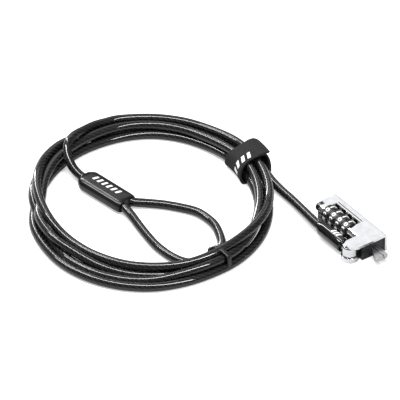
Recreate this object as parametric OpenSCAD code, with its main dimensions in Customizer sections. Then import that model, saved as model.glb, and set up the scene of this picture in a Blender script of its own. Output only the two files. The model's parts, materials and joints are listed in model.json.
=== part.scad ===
// Combination cable lock for a laptop: a lock head with four number wheels, hinged and swivelled
// on the end of a coated steel cable, which is coiled, strapped and ends in an anchor loop.
// +X is the way the locking tip points, +Y is the side of the long rail, +Z is up.
// The origin is on the surface the lock lies on, under the middle of the lock head.

/* [Housing] */
// Length of the chromed housing
housing_l = 40; // [38:0.5:50]
// Height of the housing
housing_h = 9.4; // [9:0.1:12]
// From the dial axis to the outer face of the rail
rail_y = 9.7; // [9:0.1:13]
// Width of the solid rail beside the dials
rail_w = 4.5; // [3.6:0.1:5]
// Radius along the rail's outer top edge
rail_round = 1; // [0.4:0.1:2]
// Thickness of the roof over the nose and of the upper lug
roof_t = 1.2; // [1:0.1:1.6]
// Thickness of the walls round the nose
shell_t = 1.2; // [0.8:0.1:1.6]
// Length of the front part, from the front face to the dials
front_l = 14.9; // [14:0.1:18]
// Thickness of the wall between the nose and the dials
bulkhead_t = 1; // [0.8:0.1:1.4]
// Thickness of the wall behind the dials
rear_wall_t = 3; // [2.8:0.1:3.4]
// Radius of the shoulders that follow the dials
shoulder_r = 3.7; // [3.4:0.1:4]

/* [Dials] */
// Number of dials
dial_count = 4; // [3:1:5]
// Distance from one dial to the next
dial_pitch = 4.75; // [4.5:0.05:5.5]
// Diameter of a dial
dial_d = 8.8; // [8.4:0.1:9.2]
// Bore of a dial, where its hub sits
dial_bore_d = 6; // [5.8:0.1:6.2]
// Height of the dial axis above the surface
dial_z = 6.1; // [6:0.1:6.5]
// Gap between one dial and the next
dial_gap = 0.2; // [0.15:0.05:0.3]
// Digits on each dial
digit_count = 10; // [8:1:10]
// Radius of the finger grooves between the digits
groove_r = 0.35; // [0.25:0.05:0.45]

/* [Spindle and button] */
// Diameter of the spindle
spindle_d = 2.6; // [2.2:0.1:2.8]
// How far the button pushes in
push_travel = 1.8; // [1.5:0.1:2]
// Length of each lug on the spindle
lug_l = 0.8; // [0.6:0.1:0.9]
// Width of each lug on the spindle
lug_w = 0.7; // [0.5:0.1:0.9]
// Reach of each lug from the spindle's axis
lug_reach = 2.05; // [1.8:0.05:2.1]
// Thickness of the notched web in each hub
web_t = 0.5; // [0.4:0.05:0.6]
// Inner diameter of each hub, either side of its web
hub_inner_d = 4.4; // [4.3:0.1:4.8]
// Diameter of the push button
button_d = 4.76; // [4.4:0.02:4.8]
// Length of the push button inside the bore that guides it
button_guide_l = 0.3; // [0.1:0.1:1.9]
// How far the button reaches past the housing
button_proud = 1; // [0.5:0.1:2]
// Diameter of the wire of the return spring
spring_wire_d = 0.22; // [0.18:0.02:0.26]
// Turns of the return spring
spring_turns = 7; // [5:1:9]

/* [Locking tip] */
// How far the tip reaches in front of the housing
tip_l = 7.8; // [6:0.1:9]
// Thickness of the tip
tip_h = 2.1; // [1.8:0.1:2.4]
// Height of the tip's underside
tip_z = 2.9; // [2.8:0.1:3.1]
// Width of the tip at its front end
tip_w = 7.2; // [6.5:0.1:7.4]
// From the dial axis to the outer side of the fixed jaw
tip_side_y = 4.5; // [4.2:0.1:4.8]
// Width of the fixed jaw
fixed_jaw_w = 2.35; // [2.2:0.05:2.5]
// Width of the slit between the jaws
slit_w = 0.5; // [0.45:0.05:0.6]
// How far the moving jaw closes when the button is pushed in
jaw_travel = 0.35; // [0.2:0.05:0.4]

/* [Pivot and swivel] */
// From the front face back to the pivot pin
pivot_back = 5.4; // [5:0.1:6]
// From the dial axis across to the pivot pin
pivot_side = 8.4; // [8.3:0.1:10]
// Diameter of the pivot pin
pin_d = 2.5; // [2:0.1:2.8]
// Length of the upper lug, from front to back
upper_lug_l = 7.8; // [7.4:0.1:8.4]
// Radius of the upper lug behind the pin
upper_lug_r = 2.4; // [2.2:0.1:2.6]
// Radius of the lower lug
lower_lug_r = 4.3; // [4:0.1:4.5]
// Height of the lower lug
lower_lug_h = 2.6; // [2.2:0.1:2.8]
// Diameter of the knuckle between the lugs
knuckle_d = 7.3; // [6.8:0.1:7.6]
// Height of the barrel's axis above the surface
barrel_z = 4.7; // [4.5:0.1:5]
// Diameter of the barrel
barrel_d = 7.2; // [6.6:0.1:7.4]
// Length of the barrel
barrel_l = 18.6; // [18:0.2:24]
// Diameter of the swivel spigot
spigot_d = 3; // [2.6:0.1:3.2]
// Length of the spigot inside the barrel
spigot_l = 6.5; // [6:0.1:8]

/* [Cable] */
// Diameter of the coated cable
cable_d = 4.4; // [4:0.1:4.8]
// Diameter of the bare steel rope at the crimps
rope_d = 3; // [2.4:0.1:3.2]
// Half the coil's width, to the middle of its turns
coil_a = 52.5; // [50:0.5:56]
// Half the coil's depth, to the middle of its turns
coil_b = 58.5; // [55:0.5:62]
// Width of the four turns together
coil_w = 16; // [13:0.2:20]
// Height of the four turns together
coil_h = 8.8; // [8:0.2:10]
// Angle between the lock head and the coil's own width
lay_angle = 53.5; // [40:0.5:60]

/* [Sleeve, strap and tie] */
// Length of the moulded sleeve
sleeve_l = 29.5; // [25:0.5:36]
// Width of the moulded sleeve
sleeve_w = 12.2; // [10.6:0.1:13.5]
// Thickness of the moulded sleeve
sleeve_h = 6.8; // [6.2:0.1:8.2]
// Length of the crimp inside the sleeve
ferrule_l = 16; // [12:0.5:19]
// Width of the hook-and-loop strap
strap_w = 17; // [12:0.5:20]
// Thickness of the hook-and-loop strap
strap_t = 1.2; // [0.8:0.1:2]
// Where the strap sits round the coil
strap_angle = 32; // [20:1:50]
// Thickness of the wire tie
tie_t = 0.9; // [0.6:0.1:1.2]
// Width of the wire tie
tie_w = 1.8; // [1.2:0.1:3]
// Where the wire tie sits round the coil
tie_angle = 309; // [300:1:315]

/* [Hidden] */
$fn = 64;

// Clearances
running = 0.05;   // a shaft in its bore, on the radius
seat = 0.05;      // a piece in its pocket, each side
free = 0.2;       // pieces that move past each other
eps = 0.01;       // cuts run this far past a face

// Along X, with the front face at 0
dial_front_x = -front_l;
dial_back_x = -front_l - dial_count * dial_pitch;
rear_wall_x = dial_back_x - rear_wall_t;
housing_back_x = -housing_l;
button_back_x = housing_back_x - button_proud;
button_l = rear_wall_x + button_guide_l - button_back_x;
barrel_front_x = -pivot_back - lower_lug_r - 2 * free;
barrel_back_x = barrel_front_x - barrel_l;

// Across Y, with the dial axis at 0
rail_in_y = rail_y - rail_w;
lug_left_y = -pivot_side - upper_lug_r;
front_lug_r = upper_lug_l / 2;
nose_right_y = rail_y - shell_t;
roof_z = housing_h - roof_t;
floor_t = 1.2;
wall_left_y = -shoulder_r;
carrier_left_y = wall_left_y - 0.4;

// The lock head's own box, which puts the origin under its middle
head_x_mid = (button_back_x + tip_l) / 2;
head_y_mid = (rail_y - pivot_side - lower_lug_r) / 2;

// Inside the nose
slit_y = tip_side_y - fixed_jaw_w - slit_w;  // the moving jaw's side of the slit
tail_back_x = -8.5;                          // back ends of both jaws
tail_front_x = -3.4;                         // front of the room for the cam
cam_front_x = tail_front_x - push_travel - free;
cam_back_x = -13.6;
cam_riser_x = cam_back_x + 3;
cam_side_y = tip_side_y - fixed_jaw_w + 0.25;
cam_slope = jaw_travel / push_travel;
cam_left_y = slit_y - 0.18;                  // the cam's left face, level with the jaws' back ends
spindle_neck_d = 1.8;
tail_left_y = -0.8;
root_left_y = 0.6;
nose_face_t = 1;
nose_recess = 0.6;

// Hubs and lugs, from a dial's back face
lug_x = 0.3;
web_x = lug_x + lug_l + (push_travel - lug_l - web_t) / 2;
hub_d = dial_bore_d - 2 * seat;

// Springs
button_wall = 1.6;
button_bore_r = button_d / 2 - 0.42;
spring_x0 = button_back_x + button_wall + 0.1;
bulkhead_bore_t = 0.8;
spring_x1 = dial_back_x - bulkhead_bore_t - 0.05;
// The spring runs between the spindle and the button's bore, a little nearer the spindle
spring_r = (spindle_d / 2 + button_bore_r - 0.02) / 2;

// Where the coil lies, from the dial axis at the front face
coil_x = -92.5;
coil_y = -60.5;

// The cable's routes, in the coil's own frame: right, away, up
tail_points = [
    [67, 2, 3.2], [61.7, 10.6, 2.6], [56.6, 19.4, 2.6], [51.8, 28, 3.2], [46.8, 36, 3.4]
];
lead_points = [
    [-16, 62.6, 6.4], [-24, 59.2, 6.8], [-29.1, 55.4, 7.8], [-34.3, 49, 9.5], [-37.6, 44.6, 10.6],
    [-39.8, 40.8, 11], [-41.1, 37.1, 10.7], [-41.4, 33.4, 9.2], [-40.5, 28.9, 7.2],
    [-38.7, 25.5, 5.3], [-36.3, 22.6, 4]
];
eye_points = [
    [-7.6, 1, 2.8], [-3, 1, 2.4], [5.6, -0.1, 2.2], [14.1, -2.6, 2.2], [20.5, -5.3, 2.2], [25.2, -9.6, 2.2],
    [29.5, -15.9, 2.2], [31.9, -23.6, 2.2], [32.9, -30.2, 2.2], [32.4, -34.8, 2.2], [30.2, -38.9, 2.2],
    [26.6, -41.9, 2.2], [22.3, -44.2, 2.2], [17.7, -45.2, 2.2], [13, -43.6, 2.2], [8.1, -39.7, 2.2],
    [4.6, -35.8, 2.2], [1.3, -31.3, 2.2], [-2, -25.5, 2.2], [-5.1, -19.4, 2.2], [-8, -13.5, 2.4],
    [-10.6, -8.5, 2.8]
];
sleeve_pos = [-22.8, 9, 3.4];  // the middle of the sleeve
sleeve_turn = -45;             // the way its loop end points
eye_gap = 2.4;                 // from the sleeve's axis to each side of the loop

function unit(v) = v / norm(v);
function ahead(a) = [cos(a), sin(a), 0];
function beside(a) = [-sin(a), cos(a), 0];
function hump(a, at) = exp(-pow(((a - at + 540) % 360 - 180) / 24, 2));
function lift(a) = strap_t * hump(a, strap_angle) + tie_t * hump(a, tie_angle);
// Half the turns' width, where the tie pulls them together
function half_width(a) = coil_w / 2 - (coil_w / 2 - cable_d - 0.2) * hump(a, tie_angle);
function tangent(p, i) = unit(p[min(i + 1, len(p) - 1)] - p[max(i - 1, 0)]);

// A round tube with one ring at each point of the route
module tube(points, d, sides = 10) {
    rings = [for (i = [0:len(points) - 1])
        let (side = unit(cross(tangent(points, i), [0, 0, 1])), top = cross(side, tangent(points, i)))
        for (k = [0:sides - 1])
            let (a = 360 * k / sides)
            points[i] + d / 2 * (side * cos(a) + top * sin(a))];
    last = (len(points) - 1) * sides;
    walls = [for (i = [0:len(points) - 2]) for (k = [0:sides - 1])
        let (a = i * sides + k, b = i * sides + (k + 1) % sides)
        each [[a, b, b + sides], [a, b + sides, a + sides]]];
    ends = [[for (k = [0:sides - 1]) sides - 1 - k], [for (k = [0:sides - 1]) last + k]];
    polyhedron(rings, concat(walls, ends), convexity = 8);
}

// The frame that the coil and everything on the cable lie in
module on_lay() {
    translate([-head_x_mid + coil_x, -head_y_mid + coil_y, 0])
        rotate([0, 0, lay_angle])
            children();
}

module on_head() {
    translate([-head_x_mid, -head_y_mid, 0])
        children();
}

// A round bar along X
module bar(x0, x1, d, y = 0, z = dial_z) {
    translate([x0, y, z])
        rotate([0, 90, 0])
            cylinder(d = d, h = x1 - x0);
}

module box(low, high) {
    translate(low)
        cube(high - low);
}

// An outline in Y and Z, stood across the lock from x0 to x1
module across(x0, x1) {
    translate([x0, 0, 0])
        rotate([90, 0, 90])
            linear_extrude(x1 - x0)
                children();
}

module rail_outline(y0) {
    r = rail_round;
    difference() {
        translate([y0, 0])
            square([rail_y - y0, housing_h]);
        translate([rail_y - r, housing_h - r])
            difference() {
                square(r + eps);
                circle(r);
            }
    }
}

// The walls at each end of the dials: a shoulder that follows them, then flat to the rail
module shoulder_outline() {
    intersection() {
        union() {
            translate([0, dial_z])
                circle(shoulder_r);
            translate([wall_left_y, 0])
                square([-wall_left_y + eps, dial_z]);
            rail_outline(0);
        }
        translate([wall_left_y, 0])
            square([rail_y - wall_left_y, housing_h]);
    }
}

module upper_lug_outline() {
    translate([-upper_lug_l, lug_left_y + front_lug_r])
        square([upper_lug_l, rail_y - rail_round - lug_left_y - front_lug_r]);
    translate([-front_lug_r, lug_left_y + front_lug_r])
        circle(front_lug_r);
    translate([-pivot_back, -pivot_side])
        circle(upper_lug_r);
}

module housing() color("gainsboro") on_head() difference() {
    union() {
        across(housing_back_x, 0) rail_outline(rail_in_y);
        across(housing_back_x, rear_wall_x) rail_outline(0.8);
        across(rear_wall_x, dial_back_x) shoulder_outline();
        across(dial_front_x, -upper_lug_l) shoulder_outline();
        across(-upper_lug_l - eps, 0) rail_outline(nose_right_y);
        translate([0, 0, roof_z])
            linear_extrude(roof_t)
                upper_lug_outline();
    }
    // The room for the nose, open below and in front
    box([dial_front_x + bulkhead_t, wall_left_y + shell_t, -eps], [1, nose_right_y, roof_z]);
    box([-upper_lug_l, lug_left_y, -eps], [1, nose_right_y, roof_z]);
    // The rebate for the carrier's floor
    box([rear_wall_x + 1, -20, -eps], [dial_front_x + bulkhead_t + eps, rail_y - 1.6, floor_t + seat]);
    // Bores for the button and the spindle
    bar(rear_wall_x - eps, dial_back_x - bulkhead_bore_t, button_d + 2 * running);
    bar(housing_back_x - eps, rear_wall_x + eps, button_d + 3 * free);
    bar(rear_wall_x, dial_front_x + bulkhead_t + eps, spindle_d + 2 * running);
    // The groove for the inlay beside the dials
    box([dial_back_x, strip_y, housing_h - strip_h], [dial_front_x, strip_y + strip_w, housing_h + eps]);
    // The pin's hole, the screws' holes and the seat of the reset screw
    translate([-pivot_back, -pivot_side, roof_z - eps])
        cylinder(d = pin_d, h = pin_seat + eps);
    for (x = rail_screw_x)
        translate([x, rail_screw_y, 0])
            cylinder(d = screw_d + 2 * seat, h = rail_screw_l + seat);
    bar(housing_back_x - eps, housing_back_x + reset_l + seat, reset_d + 2 * running, reset_y, reset_z);
}

pin_seat = 0.7;  // how deep the pin sits in the roof
strip_w = 0.5;
strip_h = 0.7;
strip_y = rail_in_y + 0.9;
screw_d = 1.4;
screw_head_d = 2.4;
screw_head_h = 0.6;
rail_screw_l = 5;
rail_screw_y = rail_in_y + 1.5;
rail_screw_x = [dial_back_x + 4, dial_front_x - 3];
lug_screw = [-4.6, -1.5];
lug_screw_l = 2.6;
reset_l = 3;
reset_d = 3.2;
reset_y = rail_y - 3.6;
reset_z = 4.2;

module index_strip() color("black") on_head() box(
    [dial_back_x + seat, strip_y + seat, housing_h - strip_h],
    [dial_front_x - seat, strip_y + strip_w - seat, housing_h - seat]
);

// The black inner body: a floor under the dials and a nose that guides the jaws
module carrier() color("dimgray") on_head() difference() {
    union() {
        box(
            [rear_wall_x + 1 + seat, wall_left_y, 0],
            [dial_front_x + bulkhead_t, rail_y - 1.6 - seat, floor_t]
        );
        box([dial_back_x + seat, carrier_left_y, 0], [dial_front_x - seat, wall_left_y + 0.1, floor_t + 1.6]);
        box(
            [dial_front_x + bulkhead_t + seat, wall_left_y + shell_t + seat, 0],
            [-nose_recess, nose_right_y - seat, roof_z - seat]
        );
        box(
            [-upper_lug_l + seat, carrier_left_y - 0.5, 0],
            [-nose_recess, wall_left_y + shell_t + 1, roof_z - seat]
        );
        box([dial_front_x, wall_left_y + shell_t + seat, 0], [-nose_recess - 1, 4, floor_t]);
    }
    // Room for the knuckle and for the lower lug with its tongue
    translate([-pivot_back, -pivot_side, -eps])
        cylinder(r = knuckle_d / 2 + 2 * free, h = housing_h);
    translate([-pivot_back, -pivot_side, -eps])
        cylinder(r = lower_lug_r + seat, h = lower_lug_h + seat);
    translate([0, 0, -eps])
        linear_extrude(tongue_t + seat)
            tongue_outline(seat);
    // The cam's room, the jaws' tunnel and its mouth
    tip_top_z = tip_z + tip_h + seat;
    mouth_x = -nose_recess - nose_face_t;
    box(
        [cam_back_x - free, -spindle_d / 2 - free, tip_z - seat],
        [tail_back_x, cam_side_y + seat, roof_z - 0.6]
    );
    box([tail_back_x - eps, tail_left_y - free, tip_z - seat], [mouth_x, tip_side_y + seat, tip_top_z]);
    box([mouth_x - eps, root_left_y - 0.1, tip_z - seat], [0, tip_side_y + seat, tip_top_z]);
    bar(dial_front_x, cam_back_x, spindle_d + 2 * running);
    for (x = rail_screw_x)
        translate([x, rail_screw_y, -eps]) {
            cylinder(d = screw_d + 2 * seat, h = floor_t + 1);
            cylinder(d = screw_head_d + 2 * seat, h = screw_head_h + 2 * seat + eps);
        }
    translate([lug_screw.x, lug_screw.y, -eps])
        cylinder(d = screw_d + 2 * seat, h = lug_screw_l + seat);
}

tongue_t = 1.1;

module tongue_outline(gap = 0) {
    back = -upper_lug_l + free;
    translate([back - gap, -pivot_side])
        square([-pivot_back + 3 - back + 2 * gap, pivot_side + 0.4 + gap]);
}

module lower_lug() color("gainsboro") on_head() difference() {
    union() {
        translate([-pivot_back, -pivot_side, 0])
            cylinder(r = lower_lug_r, h = lower_lug_h);
        linear_extrude(tongue_t)
            tongue_outline();
    }
    translate([-pivot_back, -pivot_side, 0.5])
        cylinder(d = pin_d, h = lower_lug_h);
    translate([lug_screw.x, lug_screw.y, -eps]) {
        cylinder(d = screw_d + 2 * seat, h = tongue_t + 1);
        cylinder(d = screw_head_d + 2 * seat, h = screw_head_h + 2 * seat + eps);
    }
}

module screw(length) {
    difference() {
        union() {
            cylinder(d = screw_head_d, h = screw_head_h);
            cylinder(d = screw_d, h = length);
        }
        translate([0, 0, screw_head_h / 4])
            cube([screw_head_d, 0.35, screw_head_h / 2 + eps], center = true);
    }
}

module base_screws() color("dimgray") on_head() {
    for (x = rail_screw_x)
        translate([x, rail_screw_y, seat])
            screw(rail_screw_l - 2 * seat);
    translate([lug_screw.x, lug_screw.y, seat])
        screw(lug_screw_l - 2 * seat);
}

module reset_screw() color("dimgray") on_head() difference() {
    bar(housing_back_x + seat, housing_back_x + reset_l, reset_d, reset_y, reset_z);
    translate([housing_back_x + seat, reset_y, reset_z])
        cube([1.2, reset_d + 1, 0.5], center = true);
}

module dial_place(i) {
    on_head()
        translate([dial_back_x + i * dial_pitch, 0, dial_z])
            rotate([0, 90, 0])
                children();
}

module dial(i) color("#1c1c1e") dial_place(i) {
    w = dial_pitch - dial_gap;
    bevel = 0.25;
    r = dial_d / 2;
    translate([0, 0, dial_gap / 2])
        difference() {
            rotate_extrude()
                polygon([
                    [dial_bore_d / 2, 0], [r - bevel, 0], [r, bevel],
                    [r, w - bevel], [r - bevel, w], [dial_bore_d / 2, w]
                ]);
            for (k = [0:digit_count - 1])
                rotate([0, 0, 360 * (k + 0.5) / digit_count + digit_phase])
                    translate([r + groove_r * 0.35, 0, -eps])
                        cylinder(r = groove_r, h = w + 2 * eps);
        }
}

digit_phase = 24;  // so that a row of digits stands 24 degrees off the top

module hub(i) color("silver") dial_place(i) {
    w = dial_pitch - dial_gap;
    difference() {
        translate([0, 0, dial_gap / 2])
            cylinder(d = hub_d, h = w);
        translate([0, 0, -eps])
            cylinder(d = hub_inner_d, h = web_x + eps);
        translate([0, 0, web_x + web_t])
            cylinder(d = hub_inner_d, h = w);
        translate([0, 0, -eps])
            cylinder(d = spindle_d + 2 * running, h = w + 1);
        translate([-hub_inner_d / 2, -lug_w / 2 - 0.15, web_x - eps])
            cube([hub_inner_d / 2, lug_w + 0.3, web_t + 2 * eps]);
    }
}

module spindle() color("silver") on_head() {
    bar(button_back_x + button_wall - 0.8, cam_back_x, spindle_d);
    bar(cam_back_x - eps, cam_riser_x - 0.4, spindle_neck_d);
    for (i = [0:dial_count - 1])
        box(
            [dial_back_x + i * dial_pitch + lug_x, -lug_w / 2, dial_z],
            [dial_back_x + i * dial_pitch + lug_x + lug_l, lug_w / 2, dial_z + lug_reach]
        );
}

module button() color("#3a3a3e") on_head() {
    r = button_d / 2;
    bevel = 0.5;
    translate([button_back_x, 0, dial_z])
        rotate([0, 90, 0])
            rotate_extrude()
                polygon([
                    [0, 0], [r - bevel, 0], [r, bevel], [r, button_l], [button_bore_r, button_l],
                    [button_bore_r, button_wall], [spindle_d / 2, button_wall],
                    [spindle_d / 2, button_wall - 0.8], [0, button_wall - 0.8]
                ]);
}

// A wedge between the jaws' tails, wider towards the front, on a riser from the spindle
module cam() color("silver") on_head() difference() {
    union() {
        box([cam_back_x, -spindle_d / 2, tip_z], [cam_riser_x, cam_side_y, roof_z - 0.8]);
        translate([0, 0, tip_z])
            linear_extrude(tip_h)
                polygon([
                    [cam_riser_x - eps, cam_face_y(cam_riser_x)], [cam_front_x, cam_face_y(cam_front_x)],
                    [cam_front_x, cam_side_y], [cam_riser_x - eps, cam_side_y]
                ]);
    }
    bar(cam_back_x - eps, cam_riser_x - 0.4, spindle_neck_d);
}

function cam_face_y(x) = cam_left_y - cam_slope * (x - tail_back_x);

module return_spring() color("silver") on_head() {
    steps = 12;
    count = spring_turns * steps;
    points = [for (k = [0:count])
        let (a = 360 * k / steps)
        [
            spring_x0 + spring_wire_d / 2 + (spring_x1 - spring_x0 - spring_wire_d) * k / count,
            spring_r * cos(a),
            dial_z + spring_r * sin(a)
        ]];
    coil_wire(points, spring_wire_d, 6);
}

// A wire whose rings keep one edge pointing away from the spindle
module coil_wire(points, d, sides) {
    rings = [for (i = [0:len(points) - 1])
        let (out = unit([0, points[i].y, points[i].z - dial_z]), along = unit(cross(tangent(points, i), out)))
        for (k = [0:sides - 1])
            let (a = 360 * k / sides)
            points[i] + d / 2 * (along * cos(a) + out * sin(a))];
    last = (len(points) - 1) * sides;
    walls = [for (i = [0:len(points) - 2]) for (k = [0:sides - 1])
        let (a = i * sides + k, b = i * sides + (k + 1) % sides)
        each [[a, b + sides, b], [a, a + sides, b + sides]]];
    ends = [[for (k = [0:sides - 1]) k], [for (k = [0:sides - 1]) last + sides - 1 - k]];
    polyhedron(rings, concat(walls, ends), convexity = 8);
}

module detent_spring() color("silver") on_head() {
    leaf_t = 0.15;
    bump_r = 0.5;
    leaf_w = 2.4;
    bump_top = dial_z - dial_d / 2 - 0.07;
    box(
        [dial_back_x + 0.4, -leaf_w / 2, floor_t],
        [dial_front_x - 0.4, leaf_w / 2, floor_t + leaf_t]
    );
    for (i = [0:dial_count - 1])
        intersection() {
            bar(
                dial_back_x + (i + 0.5) * dial_pitch - 0.8, dial_back_x + (i + 0.5) * dial_pitch + 0.8,
                2 * bump_r, 0.2, bump_top - bump_r
            );
            box([dial_back_x, -leaf_w / 2, floor_t + leaf_t / 2], [dial_front_x, leaf_w / 2, dial_z]);
        }
}

module moving_jaw() color("silver") on_head() translate([0, 0, tip_z])
    linear_extrude(tip_h)
        polygon([
            [tail_back_x, tail_left_y], [-nose_recess - nose_face_t - free, tail_left_y],
            [-nose_recess - nose_face_t - free, root_left_y], [0, root_left_y],
            [tip_l - 0.8, tip_side_y - tip_w], [tip_l, tip_side_y - tip_w + 0.5],
            [tip_l, slit_y], [tail_front_x, slit_y],
            [tail_front_x, cam_face_y(tail_front_x) - seat], [tail_back_x, cam_face_y(tail_back_x) - seat]
        ]);

module fixed_jaw() color("silver") on_head() translate([0, 0, tip_z])
    linear_extrude(tip_h)
        polygon([
            [tail_back_x, cam_side_y + seat], [tail_front_x, cam_side_y + seat],
            [tail_front_x, slit_y + slit_w], [tip_l, slit_y + slit_w],
            [tip_l, tip_side_y - 0.4], [tip_l - 0.4, tip_side_y], [tail_back_x, tip_side_y]
        ]);

module pivot_pin() color("silver") on_head() translate([-pivot_back, -pivot_side, 0.5])
    cylinder(d = pin_d, h = roof_z + pin_seat - 0.5);

module knuckle() color("gainsboro") on_head() {
    rim = 0.5;
    low = lower_lug_h + free;
    high = roof_z - free;
    r = knuckle_d / 2;
    difference() {
        union() {
            translate([-pivot_back, -pivot_side, 0])
                rotate_extrude()
                    polygon([
                        [pin_d / 2 + running, low], [r - rim, low], [r, low + rim],
                        [r, high - rim], [r - rim, high], [pin_d / 2 + running, high]
                    ]);
            difference() {
                union() {
                    bar(barrel_front_x - spigot_l, -pivot_back - 2, spigot_d, -pivot_side, barrel_z);
                    bar(barrel_front_x + free, -pivot_back - 2, spigot_d + 1, -pivot_side, barrel_z);
                }
                translate([-pivot_back, -pivot_side, 0])
                    cylinder(d = pin_d + 2 * running, h = housing_h);
            }
        }
        // The clip's groove
        difference() {
            bar(clip_x - seat, clip_x + clip_t + seat, spigot_d + 1, -pivot_side, barrel_z);
            bar(clip_x - 1, clip_x + clip_t + 1, spigot_neck_d, -pivot_side, barrel_z);
        }
    }
}

clip_t = 0.6;
clip_x = barrel_front_x - spigot_l + 0.8;
spigot_neck_d = 2;
swivel_room_d = 5.2;
crimp_d = 5.6;
crimp_l = 7.5;
crimp_front_x = clip_x - 2;

module barrel() color("#141416") on_head() translate([barrel_front_x, -pivot_side, barrel_z])
    rotate([0, -90, 0]) {
        r = barrel_d / 2;
        bevel = 0.4;
        taper_l = 2.6;
        mouth_l = spigot_l - 1.6;
        crimp_start = barrel_front_x - crimp_front_x;
        rope_r = rope_d / 2 + seat;
        rotate_extrude()
            polygon([
                [spigot_d / 2 + running, 0], [r - bevel, 0], [r, bevel],
                [r, barrel_l - taper_l], [cable_d / 2 + 0.5, barrel_l], [rope_r, barrel_l],
                [rope_r, crimp_start + crimp_l + seat], [crimp_d / 2 + seat, crimp_start + crimp_l + seat],
                [crimp_d / 2 + seat, crimp_start], [swivel_room_d / 2, crimp_start],
                [swivel_room_d / 2, mouth_l], [spigot_d / 2 + running, mouth_l]
            ]);
    }

// An open ring that snaps into the spigot's groove
module swivel_clip() color("silver") on_head() difference() {
    bar(clip_x, clip_x + clip_t, swivel_room_d - 4 * seat, -pivot_side, barrel_z);
    bar(clip_x - 1, clip_x + clip_t + 1, spigot_neck_d + 2 * seat, -pivot_side, barrel_z);
    box(
        [clip_x - 1, -pivot_side - 0.6, barrel_z],
        [clip_x + clip_t + 1, -pivot_side + 0.6, barrel_z + swivel_room_d]
    );
}

// The crimp on the steel rope, which fills the barrel's back end
module cable_crimp() color("darkgray") on_head() {
    bar(crimp_front_x - crimp_l, crimp_front_x, crimp_d, -pivot_side, barrel_z);
    bar(barrel_back_x, crimp_front_x - crimp_l + eps, rope_d, -pivot_side, barrel_z);
}

// The barrel's back end in the coil's own frame
exit_dx = barrel_back_x - coil_x;
exit_dy = -pivot_side - coil_y;
exit_right = exit_dx * cos(lay_angle) + exit_dy * sin(lay_angle);
exit_away = -exit_dx * sin(lay_angle) + exit_dy * cos(lay_angle);
exit_point = [exit_right, exit_away, barrel_z];
exit_way = [-cos(lay_angle), sin(lay_angle), 0];

module cable_tail() color("#202022") on_lay()
    tube(concat([exit_point, exit_point + 8 * exit_way], tail_points), cable_d);

// Four turns of cable as one ring with a rounded section
module cable_coil() color("#202022") on_lay() {
    steps = 60;
    corners = [[1, 0.3], [1, 0.7], [0.75, 1], [-0.75, 1], [-1, 0.7], [-1, 0.3], [-0.75, 0], [0.75, 0]];
    section = [for (c = corners)
        [c.x, c.y * coil_h]];
    sides = len(section);
    rings = [for (i = [0:steps - 1]) for (c = section)
        let (a = 360 * i / steps, out = c.x * half_width(a) * unit([coil_b * cos(a), coil_a * sin(a)]))
        [coil_a * cos(a) + out.x, coil_b * sin(a) + out.y, c.y + lift(a)]];
    walls = [for (i = [0:steps - 1]) for (k = [0:sides - 1])
        let (a = i * sides + k, b = i * sides + (k + 1) % sides, n = steps * sides)
        each [[a, b, (b + sides) % n], [a, (b + sides) % n, (a + sides) % n]]];
    polyhedron(rings, walls, convexity = 8);
}

sleeve_way = ahead(sleeve_turn);
sleeve_side = beside(sleeve_turn);
sleeve_cable_end = sleeve_pos - sleeve_way * sleeve_l / 2;
sleeve_loop_end = sleeve_pos + sleeve_way * sleeve_l / 2;

module cable_lead() color("#202022") on_lay()
    tube(concat(lead_points, [sleeve_cable_end - 4 * sleeve_way, sleeve_cable_end]), cable_d);

module cable_eye() color("#202022") on_lay()
    tube(concat(
        [sleeve_loop_end + eye_gap * sleeve_side - 4 * sleeve_way, sleeve_loop_end + eye_gap * sleeve_side],
        eye_points,
        [sleeve_loop_end - eye_gap * sleeve_side, sleeve_loop_end - eye_gap * sleeve_side - 4 * sleeve_way]
    ), cable_d);

// A flat-sided oval, lying along the sleeve
module oval_bar(x0, x1, w, h) {
    translate([x0, 0, 0])
        rotate([90, 0, 90])
            linear_extrude(x1 - x0) {
                for (s = [-1, 1])
                    translate([s * (w - h) / 2, 0])
                        circle(d = h);
                square([w - h, h], center = true);
            }
}

module on_sleeve() {
    on_lay()
        translate(sleeve_pos)
            rotate([0, 0, sleeve_turn])
                children();
}

ferrule_w = 8.4;
ferrule_h = 5;

module eye_sleeve() color("#161618") on_sleeve() difference() {
    union() {
        oval_bar(-sleeve_l / 2 + 2, sleeve_l / 2 - 1.6, sleeve_w, sleeve_h);
        oval_bar(-sleeve_l / 2, sleeve_l / 2, sleeve_w - 1, sleeve_h - 1);
    }
    oval_bar(-ferrule_l / 2 - seat, ferrule_l / 2 + seat, ferrule_w + 2 * seat, ferrule_h + 2 * seat);
}

module eye_ferrule() color("silver") on_sleeve()
    difference() {
        oval_bar(-ferrule_l / 2, ferrule_l / 2, ferrule_w, ferrule_h);
        for (s = [-1, 1])
            bar(-ferrule_l / 2 - 1, ferrule_l / 2 + 1, rope_d, s * (rope_d / 2 + 0.1), 0);
    }

// A band across the coil, standing at an angle round it, with room for inner more on the loop's side
module band(a, width, t, inner = 0) {
    way = unit([coil_b * cos(a), coil_a * sin(a)]);
    room = 2 * half_width(a) + 0.6 + inner;
    translate([coil_a * cos(a), coil_b * sin(a), 0])
        rotate([0, 0, atan2(way.y, way.x)])
            translate([-inner / 2, 0, 0])
                difference() {
                    band_block(room / 2 + t, coil_h + 0.3 + 2 * t, width);
                    translate([0, 0, t])
                        band_block(room / 2, coil_h + 0.3, width + 1);
                }
}

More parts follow.
